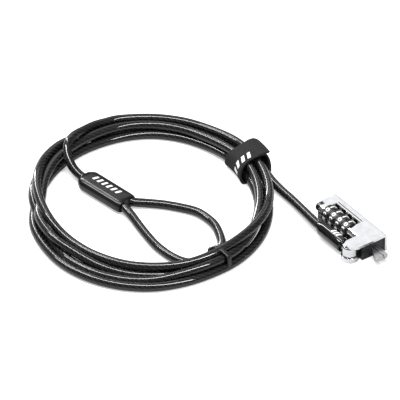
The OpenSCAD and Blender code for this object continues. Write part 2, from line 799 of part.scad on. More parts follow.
module band_block(half, h, width) {
    r = 2;
    for (s = [-1, 1])
        translate([s * (half - r), 0, 0])
            rotate([90, 0, 0]) {
                translate([0, r, -width / 2])
                    cylinder(r = r, h = width);
                translate([0, h - r, -width / 2])
                    cylinder(r = r, h = width);
            }
    translate([-half, -width / 2, r])
        cube([2 * half, width, h - 2 * r]);
    translate([-half + r, -width / 2, 0])
        cube([2 * (half - r), width, h]);
}

module strap() color("#101012") on_lay() band(strap_angle, strap_w, strap_t);

module wire_tie() color("#101012") on_lay() band(tie_angle, tie_w, tie_t, cable_d);

housing();
carrier();
lower_lug();
base_screws();
index_strip();
reset_screw();
dial(0);  // dial_1
dial(1);  // dial_2
dial(2);  // dial_3
dial(3);  // dial_4
hub(0);  // hub_1
hub(1);  // hub_2
hub(2);  // hub_3
hub(3);  // hub_4
spindle();
button();
cam();
return_spring();
detent_spring();
moving_jaw();
fixed_jaw();
pivot_pin();
knuckle();
barrel();
swivel_clip();
cable_crimp();
cable_tail();
cable_coil();
cable_lead();
cable_eye();
eye_sleeve();
eye_ferrule();
strap();
wire_tie();
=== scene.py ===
# %% [markdown]
# # The looks of a laptop cable lock
#
# A small lock head with number wheels hangs on the end of a coated steel cable. The cable lies on
# a table as a strapped coil, and its other end is folded back into a moulded sleeve to make a loop.
# The solid model of every piece is already placed. This notebook adds what solids do not carry:
# the separate turns of the cable, printed digits, softened edges and the finish of each surface.

import json
import math

import bmesh
import bpy
from mathutils import Vector
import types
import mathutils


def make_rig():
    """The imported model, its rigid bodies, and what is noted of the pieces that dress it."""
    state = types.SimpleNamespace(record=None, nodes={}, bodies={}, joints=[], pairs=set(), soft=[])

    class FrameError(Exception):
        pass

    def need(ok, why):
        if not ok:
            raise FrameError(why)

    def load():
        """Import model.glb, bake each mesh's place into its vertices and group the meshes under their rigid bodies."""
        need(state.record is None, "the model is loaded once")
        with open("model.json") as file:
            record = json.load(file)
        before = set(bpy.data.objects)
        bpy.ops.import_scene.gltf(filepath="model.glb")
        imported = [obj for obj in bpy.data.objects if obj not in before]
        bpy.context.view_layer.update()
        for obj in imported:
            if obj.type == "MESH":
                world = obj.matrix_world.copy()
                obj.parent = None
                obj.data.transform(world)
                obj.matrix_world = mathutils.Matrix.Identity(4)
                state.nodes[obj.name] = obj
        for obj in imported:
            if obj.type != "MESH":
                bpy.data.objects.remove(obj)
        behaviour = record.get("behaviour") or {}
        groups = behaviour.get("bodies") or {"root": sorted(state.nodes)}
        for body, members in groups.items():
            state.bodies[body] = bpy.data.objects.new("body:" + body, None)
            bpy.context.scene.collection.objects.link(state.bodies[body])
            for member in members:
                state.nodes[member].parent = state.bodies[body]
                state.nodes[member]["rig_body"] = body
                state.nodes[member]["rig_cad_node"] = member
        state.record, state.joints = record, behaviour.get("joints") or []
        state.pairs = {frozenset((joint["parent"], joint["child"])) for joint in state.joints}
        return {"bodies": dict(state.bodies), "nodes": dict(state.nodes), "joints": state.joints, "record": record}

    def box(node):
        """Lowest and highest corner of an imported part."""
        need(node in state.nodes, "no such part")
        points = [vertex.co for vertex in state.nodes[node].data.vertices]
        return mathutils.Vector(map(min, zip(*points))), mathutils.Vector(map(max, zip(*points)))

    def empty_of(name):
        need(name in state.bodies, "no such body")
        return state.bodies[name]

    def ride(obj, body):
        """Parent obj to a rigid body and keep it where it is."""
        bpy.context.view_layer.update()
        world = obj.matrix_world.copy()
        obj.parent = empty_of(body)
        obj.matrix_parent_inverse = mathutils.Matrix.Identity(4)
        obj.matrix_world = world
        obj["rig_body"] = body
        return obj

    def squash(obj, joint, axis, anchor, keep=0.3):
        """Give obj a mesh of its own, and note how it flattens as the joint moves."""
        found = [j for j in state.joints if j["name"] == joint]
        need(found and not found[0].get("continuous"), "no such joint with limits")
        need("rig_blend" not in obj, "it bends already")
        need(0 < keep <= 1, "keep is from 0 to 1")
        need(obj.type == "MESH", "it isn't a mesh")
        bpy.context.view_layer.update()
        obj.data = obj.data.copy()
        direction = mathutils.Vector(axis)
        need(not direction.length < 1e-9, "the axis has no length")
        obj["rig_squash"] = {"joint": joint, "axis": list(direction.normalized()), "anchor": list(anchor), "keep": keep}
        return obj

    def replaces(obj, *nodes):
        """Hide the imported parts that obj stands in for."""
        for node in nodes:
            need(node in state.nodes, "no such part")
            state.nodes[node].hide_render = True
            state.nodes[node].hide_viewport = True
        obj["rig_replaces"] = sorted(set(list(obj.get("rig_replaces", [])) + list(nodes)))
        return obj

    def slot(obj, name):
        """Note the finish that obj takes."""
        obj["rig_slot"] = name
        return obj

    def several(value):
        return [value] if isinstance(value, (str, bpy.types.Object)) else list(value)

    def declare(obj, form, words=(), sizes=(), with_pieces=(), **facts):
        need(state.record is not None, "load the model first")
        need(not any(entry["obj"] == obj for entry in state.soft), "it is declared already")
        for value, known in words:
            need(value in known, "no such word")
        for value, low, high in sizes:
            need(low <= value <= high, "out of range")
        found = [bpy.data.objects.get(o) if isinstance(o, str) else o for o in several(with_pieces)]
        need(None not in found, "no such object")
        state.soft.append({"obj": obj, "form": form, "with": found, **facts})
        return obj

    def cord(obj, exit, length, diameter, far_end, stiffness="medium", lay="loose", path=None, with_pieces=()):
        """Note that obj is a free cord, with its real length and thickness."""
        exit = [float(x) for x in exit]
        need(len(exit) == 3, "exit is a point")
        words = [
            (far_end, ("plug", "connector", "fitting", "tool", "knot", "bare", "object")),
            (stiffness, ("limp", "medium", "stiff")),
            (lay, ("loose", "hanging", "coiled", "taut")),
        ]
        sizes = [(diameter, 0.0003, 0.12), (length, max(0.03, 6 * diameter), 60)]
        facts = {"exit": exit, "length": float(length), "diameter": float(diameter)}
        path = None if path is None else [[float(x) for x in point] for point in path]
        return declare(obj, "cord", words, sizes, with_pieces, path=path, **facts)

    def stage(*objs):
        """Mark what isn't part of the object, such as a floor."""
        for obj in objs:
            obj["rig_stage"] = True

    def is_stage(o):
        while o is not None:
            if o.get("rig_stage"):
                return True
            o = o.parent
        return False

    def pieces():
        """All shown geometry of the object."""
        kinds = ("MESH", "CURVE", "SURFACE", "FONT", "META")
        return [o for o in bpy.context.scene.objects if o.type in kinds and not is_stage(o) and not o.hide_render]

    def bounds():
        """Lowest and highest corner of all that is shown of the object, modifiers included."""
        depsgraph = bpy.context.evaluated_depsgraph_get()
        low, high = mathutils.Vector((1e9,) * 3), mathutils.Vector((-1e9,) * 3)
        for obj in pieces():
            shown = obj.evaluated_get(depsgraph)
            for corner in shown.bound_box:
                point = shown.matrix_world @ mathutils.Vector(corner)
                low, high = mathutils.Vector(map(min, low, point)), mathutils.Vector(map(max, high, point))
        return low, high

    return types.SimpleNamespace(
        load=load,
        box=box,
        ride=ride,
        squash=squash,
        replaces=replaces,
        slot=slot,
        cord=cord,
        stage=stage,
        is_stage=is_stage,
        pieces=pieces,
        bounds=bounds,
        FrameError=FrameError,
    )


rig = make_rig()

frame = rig.load()
cad_low, cad_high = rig.bounds()
MM = 0.001
print("solid model, mm:", [round((b - a) / MM, 1) for a, b in zip(cad_low, cad_high)])

# %% [markdown]
# ## The frame that the coil lies in
#
# The coil is an oval turned against the lock head. It is easiest to describe in a frame of its own:
# p to the right along its short side, q away, and up from the table. One function turns such a
# point into the shared frame, and a second one places a point by its angle round the oval, how far
# outside the oval it is, and its height. Everything on the cable is placed with these two.

# %% Points on the coil
LAY_TURN = math.radians(53.5)
LAY_X, LAY_Y = -75.9, -59.0
HALF_WIDE, HALF_DEEP = 52.5, 58.5


def on_lay(p, q, z):
    """A point of the coil's frame, in millimetres, as a point of the shared frame in metres."""
    c, s = math.cos(LAY_TURN), math.sin(LAY_TURN)
    return Vector((LAY_X + p * c - q * s, LAY_Y + p * s + q * c, z)) * MM


def round_coil(angle, out, z):
    """A point beside the oval that the middle of the turns follows, in metres."""
    c, s = math.cos(math.radians(angle)), math.sin(math.radians(angle))
    away = Vector((HALF_DEEP * c, HALF_WIDE * s)).normalized() * out
    return on_lay(HALF_WIDE * c + away.x, HALF_DEEP * s + away.y, z)


print("the coil's middle:", [round(v, 4) for v in on_lay(0, 0, 0)])

# %% [markdown]
# ## The camera
#
# A product shot of a flat object is taken from about forty degrees up with a long lens, so that the
# near and far sides of the coil keep the same scale. A long focal length from a few metres away
# does that, and a focal length rather than an orthographic camera keeps other views usable.
# The plain colour transform keeps a white table white and black rubber black.

# %% Camera
CAMERA_TURN, CAMERA_RISE, CAMERA_AWAY = LAY_TURN, math.radians(37.5), 4.0
CAMERA_LENS = 752
camera_data = bpy.data.cameras.new("camera")
camera_data.lens = CAMERA_LENS
camera_data.sensor_width = 36
camera_data.clip_end = 50
camera = bpy.data.objects.new("camera", camera_data)
bpy.context.scene.collection.objects.link(camera)
back = Vector((
    math.sin(CAMERA_TURN) * math.cos(CAMERA_RISE),
    -math.cos(CAMERA_TURN) * math.cos(CAMERA_RISE),
    math.sin(CAMERA_RISE),
))
camera.location = on_lay(22.5, 0, 5) + back * CAMERA_AWAY
camera.rotation_mode = "QUATERNION"
camera.rotation_quaternion = (-back).to_track_quat("-Z", "Y")
bpy.context.scene.camera = camera
bpy.context.scene.view_settings.view_transform = "Standard"
print("camera at", [round(v, 2) for v in camera.location])

# %% [markdown]
# ## Smooth routes and round tubes
#
# The cable is one length of stiff rope, so its route is one smooth curve through chosen points.
# A Catmull-Rom curve passes through every point, which makes it easy to lay one turn on another.
# The tube is built ring by ring, and each ring is carried over from the one before, so that it
# never spins. That matters here: the wires inside the coat follow the tube's own UV map, whose
# first number goes round the cable and whose second is the length along it in metres.

# %% Routes and tubes


def spline(ends, steps):
    """A Catmull-Rom curve from the second of the points to the last but one."""
    made = []
    for a, b, c, d in zip(ends, ends[1:], ends[2:], ends[3:]):
        for k in range(steps):
            t = k / steps
            made.append(0.5 * (
                2 * b + (c - a) * t + (2 * a - 5 * b + 4 * c - d) * t * t
                + (3 * b - a - 3 * c + d) * t * t * t
            ))
    return made


def smooth(points, steps):
    """An open curve through the points, with so many steps from each to the next."""
    ends = [2 * points[0] - points[1], *points, 2 * points[-1] - points[-2]]
    return spline(ends, steps) + [points[-1]]


def smooth_ring(points, steps):
    """A closed curve through the points."""
    return spline([points[-1], *points, *points[:2]], steps)


def length_of(points):
    """The length of a path."""
    return sum((b - a).length for a, b in zip(points, points[1:]))


def link(name, mesh):
    """A mesh as an object at the origin."""
    made = bpy.data.objects.new(name, mesh)
    bpy.context.scene.collection.objects.link(made)
    return made


def tube(name, path, diameter, sides=16):
    """A closed round tube along a path, with a UV map that follows it."""
    bm = bmesh.new()
    uv = bm.loops.layers.uv.new("along")
    side = (path[1] - path[0]).cross(Vector((0, 0, 1))).normalized()
    rings, far = [], [0.0]
    for i, here in enumerate(path):
        ahead = (path[min(i + 1, len(path) - 1)] - path[max(i - 1, 0)]).normalized()
        side = (side - ahead * side.dot(ahead)).normalized()
        up = side.cross(ahead)
        turns = [2 * math.pi * k / sides for k in range(sides)]
        rings.append([
            bm.verts.new(here + (side * math.cos(t) + up * math.sin(t)) * diameter / 2) for t in turns
        ])
        if i:
            far.append(far[-1] + (here - path[i - 1]).length)
    for i in range(len(rings) - 1):
        for k in range(sides):
            n = (k + 1) % sides
            face = bm.faces.new((rings[i][k], rings[i][n], rings[i + 1][n], rings[i + 1][k]))
            face.smooth = True
            marks = ((k, i), (k + 1, i), (k + 1, i + 1), (k, i + 1))
            for loop, (round_it, station) in zip(face.loops, marks):
                loop[uv].uv = (round_it / sides, far[station])
    bm.faces.new(list(reversed(rings[0])))
    bm.faces.new(rings[-1])
    bmesh.ops.recalc_face_normals(bm, faces=bm.faces)
    mesh = bpy.data.meshes.new(name)
    bm.to_mesh(mesh)
    bm.free()
    return link(name, mesh)


print("helpers ready")

# %% [markdown]
# ## The cable
#
# The cable leaves the barrel, joins the coil under the strap, goes round four times and rises over
# the bundle to reach the sleeve inside the coil. Each turn is written as places beside the oval,
# one for every fifteen degrees: how far out, and how high. Where two turns meet, one rides on the
# other, a cable's thickness higher. Its whole length is in view, about six feet with the loop.

# %% Route of the cable
CABLE = 4.4 * MM
FIRST_ANGLE, STATION_STEP = 30, 15
TAIL = [
    (79.8, -20.3, 4.7), (77.0, -16.0, 4.6), (73.4, -9.6, 4.2),
    (67, 2, 3.2), (61.7, 10.6, 2.6), (56.6, 19.4, 2.6)
]
TURNS = [
    [(5.2, 3.6), (5.3, 3.2), (5.6, 2.5), (5.8, 2.2), (6.1, 2.2), (6.4, 2.2), (6.5, 2.2), (4.9, 2.2),
     (4.8, 3.2), (5.4, 4.9), (5.0, 5.9), (2.6, 3.7), (2.4, 2.2), (2.9, 2.2), (2.6, 2.2), (1.9, 2.3),
     (1.1, 2.9), (0.3, 4.5), (1.0, 6.0), (1.8, 6.4), (0.7, 6.2), (-0.9, 6.5), (-1.5, 6.9), (-1.8, 7.2)],
    [(-2.0, 7.6), (-3.2, 7.4), (-3.2, 6.7), (-1.8, 6.4), (-0.4, 6.2), (0.4, 6.4), (0.2, 6.8), (0.7, 6.4),
     (1.5, 6.5), (1.1, 6.5), (1.0, 5.6), (3.6, 6.9), (2.6, 6.6), (-0.4, 5.2), (-1.7, 3.5), (-2.5, 2.5),
     (-3.2, 2.2), (-3.4, 2.2), (-2.6, 2.8), (-2.3, 2.6), (-2.2, 2.3),
     (-2.1, 2.2), (-2.0, 2.4), (-2.8, 2.8)],
    [(-3.8, 3.5), (-4.1, 3.1), (-4.0, 2.4), (-3.4, 2.2), (-2.8, 2.2), (-2.5, 2.2), (-2.0, 2.2), (-0.8, 2.2),
     (0.4, 2.2), (1.8, 2.2), (3.7, 2.2), (6.3, 2.2), (6.8, 2.2), (7.3, 2.2), (7.0, 2.2), (6.4, 2.2),
     (5.5, 2.2), (4.1, 2.2), (3.3, 2.2), (3.7, 2.2), (3.8, 2.2), (3.5, 2.2), (2.8, 2.3), (1.7, 2.8)],
    [(0.8, 3.5), (0.7, 3.2), (1.1, 2.5), (1.4, 2.2), (1.7, 2.2), (2.0, 2.2), (2.6, 3.2), (6.6, 5.4),
     (6.3, 7.4), (4.6, 9.3), (2.7, 9.9), (0.1, 8.5), (-2.7, 6.3), (-4.8, 5.2), (-5.8, 5.1), (-5.8, 5.4),
     (-5.4, 5.8), (-4.1, 6.5), (-2.9, 7.5), (-1.2, 9.1), (1.2, 10.3), (2.6, 9.3), (3.2, 7.9), (3.3, 7.7)],
    [(3.4, 7.7), (3.5, 7.3), (3.3, 6.6), (4.1, 6.4), (4.8, 6.5)],
]
LEAD = [
    (-16, 62.6, 6.4), (-24, 59.2, 6.8), (-29.1, 55.4, 7.8), (-34.3, 49, 9.5), (-37.6, 44.6, 10.6),
    (-39.8, 40.8, 11), (-41.1, 37.1, 10.7), (-41.4, 33.4, 9.2), (-40.5, 28.9, 7.2), (-38.7, 25.5, 5.3),
    (-36.3, 22.6, 4), (-33.2, 19.4, 3.4), (-30.4, 16.6, 3.4),
]
stations = [place for turn in TURNS for place in turn]
cable_points = [on_lay(*p) for p in TAIL]
cable_points += [round_coil(FIRST_ANGLE + STATION_STEP * i, out, z) for i, (out, z) in enumerate(stations)]
cable_points += [on_lay(*p) for p in LEAD]
cable_path = smooth(cable_points, 6)
print("cable:", len(cable_points), "places,", round(length_of(cable_path), 3), "m")

# %% [markdown]
# ## From route to rope
#
# The tube follows the whole route at once, so that the coil has no joints. It stands for three
# solids, which only fill the space the turns take up.

# %% The cable's mesh
cable = tube("cable_run", cable_path, CABLE)
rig.ride(cable, "cable")
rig.replaces(cable, "cable_tail", "cable_coil", "cable_lead")
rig.slot(cable, "cable_coat")
print("cable faces:", len(cable.data.polygons))

# %% [markdown]
# ## The anchor loop
#
# The cable's end is folded back into the sleeve, and the loop between is what goes round a desk
# leg. It leaves the sleeve as two strands side by side, bows out, and passes behind the bundle where
# a wire tie holds it. It is made as a second tube that starts and ends inside the sleeve.

# %% Loop
LOOP = [
    (-14.4, 3.6, 3.4), (-10.7, 1.2, 3.3), (-7.6, 1, 2.8), (-3, 1, 2.4), (5.6, -0.1, 2.2), (14.1, -2.6, 2.2),
    (20.5, -5.3, 2.2), (25.2, -9.6, 2.2), (29.5, -15.9, 2.2), (31.9, -23.6, 2.2), (32.9, -30.2, 2.2),
    (32.4, -34.8, 2.2), (30.2, -38.9, 2.2), (26.6, -41.9, 2.2), (22.3, -44.2, 2.2), (17.7, -45.2, 2.2),
    (13, -43.6, 2.2), (8.1, -39.7, 2.2), (4.6, -35.8, 2.2), (1.3, -31.3, 2.2), (-2, -25.5, 2.2),
    (-5.1, -19.4, 2.2), (-8, -13.5, 2.4), (-10.6, -8.5, 2.8), (-14.1, -3.1, 3.3), (-16.9, -0.3, 3.4),
]
loop_path = smooth([on_lay(*p) for p in LOOP], 6)
loop = tube("cable_loop", loop_path, CABLE)
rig.ride(loop, "cable")
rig.replaces(loop, "cable_eye")
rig.slot(loop, "cable_coat")
print("loop:", round(length_of(loop_path), 3), "m")

# %% [markdown]
# ## Writing shaders as sums
#
# Most surface patterns are arithmetic on coordinates: bands, noise, masks. Wrapping a socket in a
# small class lets that arithmetic be written as Python expressions, and each operator adds the Math
# node it stands for. One method adds any other node, from its type, its settings and its inputs.

# %% Shader helpers


class Value:
    """A number socket that can be added, multiplied and so on."""

    def __init__(self, finish, socket):
        self.finish, self.socket = finish, socket

    def math(self, operation, other=None, swap=False):
        inputs = {0: self} if other is None else ({0: other, 1: self} if swap else {0: self, 1: other})
        return self.finish.node("ShaderNodeMath", {"operation": operation}, inputs)

    def __add__(self, other):
        return self.math("ADD", other)

    __radd__ = __add__

    def __mul__(self, other):
        return self.math("MULTIPLY", other)

    __rmul__ = __mul__

    def __sub__(self, other):
        return self.math("SUBTRACT", other)

    def __rsub__(self, other):
        return self.math("SUBTRACT", other, swap=True)

    def __pow__(self, other):
        return self.math("POWER", other)

    def sine(self):
        return self.math("SINE")


class Finish:
    """A material with a Principled shader, whose constants are set on its own sockets."""

    def __init__(self, name, **constants):
        self.material = bpy.data.materials.new(name)
        self.material.use_nodes = True
        self.tree = self.material.node_tree
        self.shader = self.tree.nodes["Principled BSDF"]
        for key, value in constants.items():
            if key == "Base_Color":
                value = (*value, 1)
            self.shader.inputs[key.replace("_", " ")].default_value = value

    def node(self, kind, settings=None, inputs=None, output=0):
        made = self.tree.nodes.new(kind)
        for key, value in (settings or {}).items():
            setattr(made, key, value)
        for key, value in (inputs or {}).items():
            if isinstance(value, Value):
                self.tree.links.new(value.socket, made.inputs[key])
            else:
                made.inputs[key].default_value = value
        return Value(self, made.outputs[output])

    def place(self):
        """Object coordinates, in metres."""
        return self.node("ShaderNodeTexCoord", output=3)

    def along(self):
        """The piece's own UV map, as its two numbers."""
        uv = self.node("ShaderNodeUVMap", {"uv_map": "along"})
        parts = self.node("ShaderNodeSeparateXYZ", inputs={0: uv})
        return parts, Value(self, parts.socket.node.outputs[1])

    def noise(self, scale, detail=3.0, where=None):
        """Noise of so many features a metre, from 0 to 1."""
        inputs = {"Vector": where or self.place(), "Scale": scale, "Detail": detail}
        return self.node("ShaderNodeTexNoise", inputs=inputs)

    def tones(self, factor, dark, light):
        """Gives the surface a colour between two, by a factor."""
        made = self.node(
            "ShaderNodeMix", {"data_type": "RGBA"}, {0: factor, 6: (*dark, 1), 7: (*light, 1)}, output=2
        )
        self.feed("Base Color", made)

    def feed(self, socket, value):
        self.tree.links.new(value.socket, self.shader.inputs[socket])

    def bump(self, height, depth, strength=1.0):
        """Raises the surface by a height from 0 to 1, at a depth in metres."""
        inputs = {"Strength": strength, "Distance": depth, "Height": height}
        self.feed("Normal", self.node("ShaderNodeBump", inputs=inputs))


print("shader helpers ready")

# %% [markdown]
# ## The coat of the cable
#
# The rope is twisted from bright steel wires under a smoke-dark clear coat. The wires show only as
# a faint slanting hatch, while the coat carries the long thin highlights. Six strands follow the
# UV map as a helix: the whole number of turns round the cable keeps the seam closed. The hatch and
# a fine ripple feed the base, and the clear coat over it stays smooth.

# %% Cable coat
coat = Finish(
    "smoke_coat", Base_Color=(0.02, 0.02, 0.02), Specular_IOR_Level=0.12,
    Coat_Weight=1.0, Coat_Roughness=0.035,
)
STRANDS, STRAND_LAY, WIRES, WIRE_LAY = 6, 330.0, 30, 900.0
around, along = coat.along()
strands = ((around * STRANDS + along * STRAND_LAY) * (2 * math.pi)).sine() * 0.5 + 0.5
wires = ((around * WIRES - along * WIRE_LAY) * (2 * math.pi)).sine() * 0.5 + 0.5
patches = coat.noise(260.0)
hatch = strands ** 2.0 * (wires * 0.5 + 0.5) * (patches * 0.9 + 0.3)
coat.tones(hatch, (0.001, 0.001, 0.0012), (0.022, 0.022, 0.0215))
coat.feed("Roughness", 0.5 - hatch * 0.2)
coat.bump(strands * 0.7 + wires * 0.3, 0.00008, 0.35)
for piece in (cable, loop):
    piece.data.materials.append(coat.material)
print("coat on", cable.name, "and", loop.name)

# %% [markdown]
# ## Declaring the cords
#
# The run is one cord from the barrel to the sleeve, and the loop is a short second cord that starts
# on the sleeve and goes back into it. Each says where it leaves, how long it really is and what is
# on its end.

# %% Cords
for rope, path, lay in ((cable, cable_path, "coiled"), (loop, loop_path, "loose")):
    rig.cord(
        rope, exit=path[0], length=round(length_of(path), 3), diameter=CABLE, far_end="fitting",
        stiffness="stiff", lay=lay, path=path, with_pieces=[frame["nodes"]["eye_ferrule"]],
    )
print("two cords,", round(length_of(cable_path) + length_of(loop_path), 3), "m in all")

# %% [markdown]
# ## The moulded sleeve
#
# The sleeve is an oval block of black plastic moulded over the crimp. Its section is flatter than an
# ellipse, so it is a superellipse, lofted along the sleeve with a bevel where the cable goes in.
# A loft of rings gives exact control of both, and both ends are closed.

# %% Sleeve shell
SLEEVE_MID, SLEEVE_TURN = (-22.8, 9.0, 3.4), math.radians(-45)
SLEEVE_HALF_WIDE, SLEEVE_HALF_TALL, SLEEVE_POWER = 6.1, 3.4, 3


def on_sleeve(s, t, z):
    """A point along, across and above the sleeve's middle, in millimetres, in the shared frame."""
    c, n = math.cos(SLEEVE_TURN), math.sin(SLEEVE_TURN)
    return on_lay(SLEEVE_MID[0] + s * c - t * n, SLEEVE_MID[1] + s * n + t * c, SLEEVE_MID[2] + z)


def superellipse(angle, half_w, half_h, power):
    """A point on an oval that is squarer the higher the power."""
    c, s = math.cos(angle), math.sin(angle)
    return (
        math.copysign(abs(c) ** (2 / power), c) * half_w,
        math.copysign(abs(s) ** (2 / power), s) * half_h,
    )


def loft(name, rings):
    """A closed skin over rings of points, each ring with the same count."""
    bm = bmesh.new()
    rows = [[bm.verts.new(p) for p in ring] for ring in rings]
    count = len(rows[0])
    for a, b in zip(rows, rows[1:]):
        for k in range(count):
            n = (k + 1) % count
            bm.faces.new((a[k], a[n], b[n], b[k])).smooth = True
    bm.faces.new(list(reversed(rows[0])))
    bm.faces.new(rows[-1])
    bmesh.ops.recalc_face_normals(bm, faces=bm.faces)
    mesh = bpy.data.meshes.new(name)
    bm.to_mesh(mesh)
    bm.free()
    return link(name, mesh)


PROFILE = [
    (-14.75, 0.66, 0.70), (-14.6, 0.72, 0.76), (-12.6, 0.93, 0.93), (-12.0, 0.975, 0.975), (-11.2, 1, 1),
    (-6, 1, 1), (0, 1, 1), (6, 1, 1), (11.8, 1, 1),
    (13.4, 0.99, 0.985), (14.3, 0.955, 0.93), (14.75, 0.9, 0.85),
]


def sleeve_ring(s, wide, tall, sides=48):
    """The sleeve's section at a place along it, with shares of its full width and height."""
    size = (SLEEVE_HALF_WIDE * wide, SLEEVE_HALF_TALL * tall, SLEEVE_POWER)
    return [on_sleeve(s, *superellipse(2 * math.pi * k / sides, *size)) for k in range(sides)]


sleeve = loft("sleeve_shell", [sleeve_ring(*place) for place in PROFILE])
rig.ride(sleeve, "cable")
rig.replaces(sleeve, "eye_sleeve")
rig.slot(sleeve, "sleeve")
print("sleeve faces:", len(sleeve.data.polygons))

# %% [markdown]
# ## Black moulded plastic
#
# Moulded parts have a faint grain from the tool and a soft sheen. Fine noise drives the roughness
# and a shallow bump, and a thin coat keeps the edges bright.

# %% Moulded plastic
moulded = Finish(
    "moulded_black", Base_Color=(0.012, 0.012, 0.0125), Roughness=0.3, Specular_IOR_Level=0.2,
    Coat_Weight=0.4, Coat_Roughness=0.15,
)
grain = moulded.noise(1800.0, 2.0)
moulded.tones(moulded.noise(90.0), (0.003, 0.003, 0.0033), (0.008, 0.008, 0.0083))
moulded.feed("Roughness", grain * 0.12 + 0.28)
moulded.bump(grain, 0.00003, 0.5)
sleeve.data.materials.append(moulded.material)
print("sleeve finish:", moulded.material.name)

# %% [markdown]
# ## Printed marks, as a repeated piece
#
# The maker's printing is left out, and plain slanting bars stand in its place on the sleeve, the
# barrel and the strap. A row of equal bars is a repeated piece, so Geometry Nodes make it: points
# on a line, one thin bar on each, with the count, spacing and bar sizes as named inputs. The result
# is turned into a plain mesh and then laid on its surface by a Python function.

# %% A row of bars in Geometry Nodes


def nodes_tree(name, inputs):
    """An empty geometry tree with named float or whole-number inputs."""
    tree = bpy.data.node_groups.new(name, "GeometryNodeTree")
    for label, value in inputs.items():
        kind = "NodeSocketInt" if isinstance(value, int) else "NodeSocketFloat"
        tree.interface.new_socket(label, in_out="INPUT", socket_type=kind).default_value = value
    tree.interface.new_socket("Geometry", in_out="OUTPUT", socket_type="NodeSocketGeometry")
    return tree, tree.nodes.new("NodeGroupInput"), tree.nodes.new("NodeGroupOutput")


def step(tree, kind, settings=None, inputs=None):
    """One node, with its settings, then values or links for its inputs."""
    made = tree.nodes.new(kind)
    for key, value in (settings or {}).items():
        setattr(made, key, value)
    for key, value in (inputs or {}).items():
        if isinstance(value, bpy.types.NodeSocket):
            tree.links.new(value, made.inputs[key])
        else:
            made.inputs[key].default_value = value
    return made


def grown(name, tree, values):
    """The tree's result as a plain mesh object, with the modifier gone."""
    carrier = link(name + "_maker", bpy.data.meshes.new(name + "_maker"))
    modifier = carrier.modifiers.new("grow", "NODES")
    modifier.node_group = tree
    for item in tree.interface.items_tree:
        if item.in_out == "INPUT" and item.name in values:
            modifier[item.identifier] = values[item.name]
    shown = carrier.evaluated_get(bpy.context.evaluated_depsgraph_get())
    mesh = bpy.data.meshes.new_from_object(shown)
    bpy.data.objects.remove(carrier)
    mesh.name = name
    return mesh


white = Finish("white_print", Base_Color=(0.82, 0.82, 0.80), Roughness=0.45)
white.tones(white.noise(1500.0), (0.74, 0.74, 0.72), (0.86, 0.86, 0.84))

BARS = {"Count": 6, "Spacing": 3.0, "Width": 1.5, "Height": 3.0, "Thickness": 0.1}
bar_tree, bar_in, bar_out = nodes_tree("slanting_bars", BARS)
line = step(bar_tree, "GeometryNodeMeshLine", {"mode": "OFFSET"}, {"Count": bar_in.outputs["Count"]})
gap = step(bar_tree, "ShaderNodeCombineXYZ", inputs={"X": bar_in.outputs["Spacing"]})
bar_tree.links.new(gap.outputs[0], line.inputs["Offset"])
size = step(bar_tree, "ShaderNodeCombineXYZ", inputs={
    "X": bar_in.outputs["Width"], "Y": bar_in.outputs["Height"], "Z": bar_in.outputs["Thickness"]
})
one = step(bar_tree, "GeometryNodeMeshCube", inputs={
    "Size": size.outputs[0], "Vertices X": 3, "Vertices Y": 6
})
put = step(bar_tree, "GeometryNodeInstanceOnPoints", inputs={
    "Points": line.outputs[0], "Instance": one.outputs["Mesh"]
})
real = step(bar_tree, "GeometryNodeRealizeInstances", inputs={0: put.outputs[0]})
painted = step(bar_tree, "GeometryNodeSetMaterial", inputs={
    "Geometry": real.outputs[0], "Material": white.material
})
bar_tree.links.new(painted.outputs[0], bar_out.inputs[0])
print("bars tree:", len(bar_tree.nodes), "nodes")

# %% [markdown]
# ## Laying a flat print on a curved piece
#
# A flat row of bars would sink into a rounded top. Each of its points is moved by a function that
# knows the surface: the sleeve's section, or the barrel's radius. Every bar then follows the piece.

# %% Lay the bars on the sleeve and the barrel


def laid(name, mesh, place):
    """Moves each point of a flat mesh, in millimetres, to where place(x, y, z) says."""
    for v in mesh.vertices:
        v.co = place(*v.co)
    bm = bmesh.new()
    bm.from_mesh(mesh)
    bmesh.ops.recalc_face_normals(bm, faces=bm.faces)
    bm.to_mesh(mesh)
    bm.free()
    return link(name, mesh)


def sleeve_top(across):
    """Height of the sleeve's upper face at a distance across it."""
    reach = min(1, abs(across) / SLEEVE_HALF_WIDE)
    return SLEEVE_HALF_TALL * (1 - reach ** SLEEVE_POWER) ** (1 / SLEEVE_POWER)


values = {"Count": 6, "Spacing": 3.1, "Width": 1.3, "Height": 2.9, "Thickness": 0.12}
sleeve_mark = laid(
    "sleeve_mark", grown("sleeve_mark", bar_tree, values),
    lambda x, y, z: on_sleeve(x - 7.6 + y * 0.35, y + 0.9, sleeve_top(y + 0.9) + z),
)
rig.ride(sleeve_mark, "cable")

BARREL_Y, BARREL_Z, BARREL_R = -6.9, 4.7, 3.6
BARREL_MARK_TURN = math.radians(8)


def on_barrel(x, y, z):
    """A point along the barrel, round it and above its skin."""
    turn = BARREL_MARK_TURN + y / BARREL_R
    r = BARREL_R + z
    return Vector((x, BARREL_Y + r * math.sin(turn), BARREL_Z + r * math.cos(turn))) * MM


values = {"Count": 3, "Spacing": 1.9, "Width": 1.1, "Height": 2.8, "Thickness": 0.06}
barrel_mark = laid(
    "barrel_mark", grown("barrel_mark", bar_tree, values),
    lambda x, y, z: on_barrel(x - 1.9 + y * 0.35, y, z),
)
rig.ride(barrel_mark, "cable")
print("marks laid:", sleeve_mark.name, barrel_mark.name)

# %% [markdown]
# ## The strap
#
# A band of woven hook-and-loop tape holds the turns together. It is wide at the sides and narrower
# over the top, where its loose end is pressed down on itself and sticks out a little. Its section
# is a closed loop round the bundle. The band is that loop swept along the coil, whose width
# changes round the loop, then given a thickness with rounded edges.

